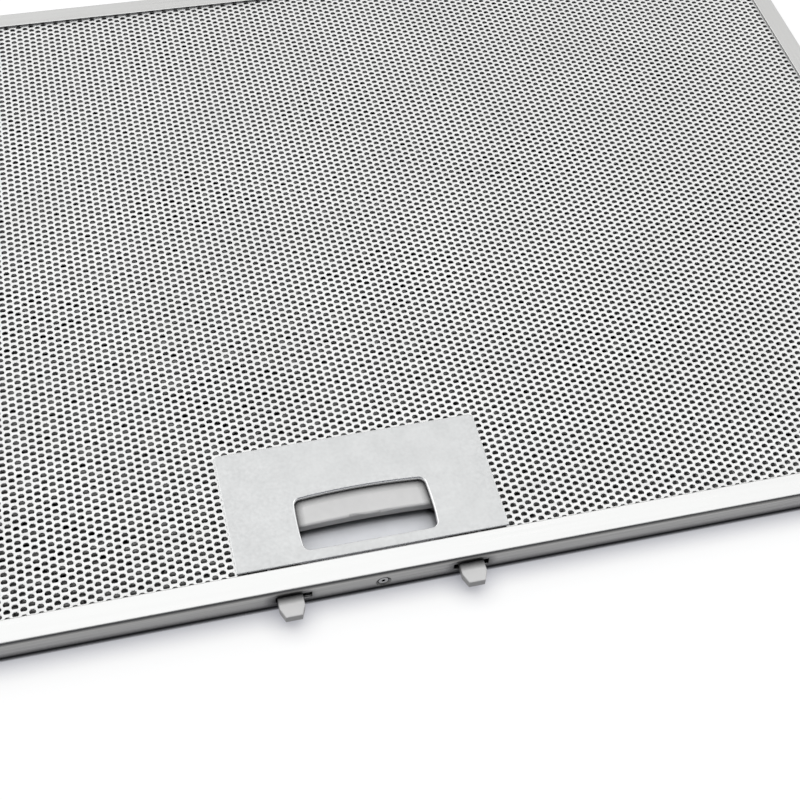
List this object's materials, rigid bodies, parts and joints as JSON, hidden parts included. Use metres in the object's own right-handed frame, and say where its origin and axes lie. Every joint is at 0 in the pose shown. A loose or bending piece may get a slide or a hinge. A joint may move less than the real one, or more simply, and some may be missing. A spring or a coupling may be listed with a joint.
{
  "type": "cooker hood grease filter",
  "caption": "Flat rectangular grease filter with a folded aluminium frame, perforated faces, inner mesh layers and a sprung finger latch on one long side.",
  "frame": {"origin": "under the middle of the whole outline, latch tongues included, on the lower face", "axes": "+Z out of the face with the latch plate, +X along the long sides, -Y towards the latch side"},
  "size_m": [0.45, 0.2868, 0.009],
  "materials": {
    "frame_aluminium": "satin anodised folded strip",
    "perforated_aluminium": "mill finish perforated sheet",
    "mesh_aluminium": "expanded mesh, dull and dark",
    "plate_aluminium": "satin anodised plate",
    "latch_plastic": "moulded, light warm grey",
    "tray_plastic": "moulded, light cool grey",
    "spring_steel": "drawn wire",
    "rivet_aluminium": "plain rivet"
  },
  "bodies": {
    "filter": {"frame": "frame_aluminium", "front_face_sheet": "perforated_aluminium", "back_face_sheet": "perforated_aluminium", "mesh_layer_1": "mesh_aluminium", "mesh_layer_2": "mesh_aluminium", "mesh_layer_3": "mesh_aluminium", "mesh_layer_4": "mesh_aluminium", "mesh_layer_5": "mesh_aluminium", "latch_plate": "plate_aluminium", "latch_tray": "tray_plastic", "latch_spring_left": "spring_steel", "latch_spring_right": "spring_steel", "latch_rivet": "rivet_aluminium"},
    "latch": {"latch_slider": "latch_plastic"}
  },
  "joints": [
    {"name": "latch_slide", "type": "slide", "parent": "filter", "child": "latch", "axis": [0, 1, 0], "range_m": [0, 0.007], "stiffness_N_per_m": 600, "springref_m": -0.004, "deforming": ["latch_spring_left", "latch_spring_right"]}
  ]
}
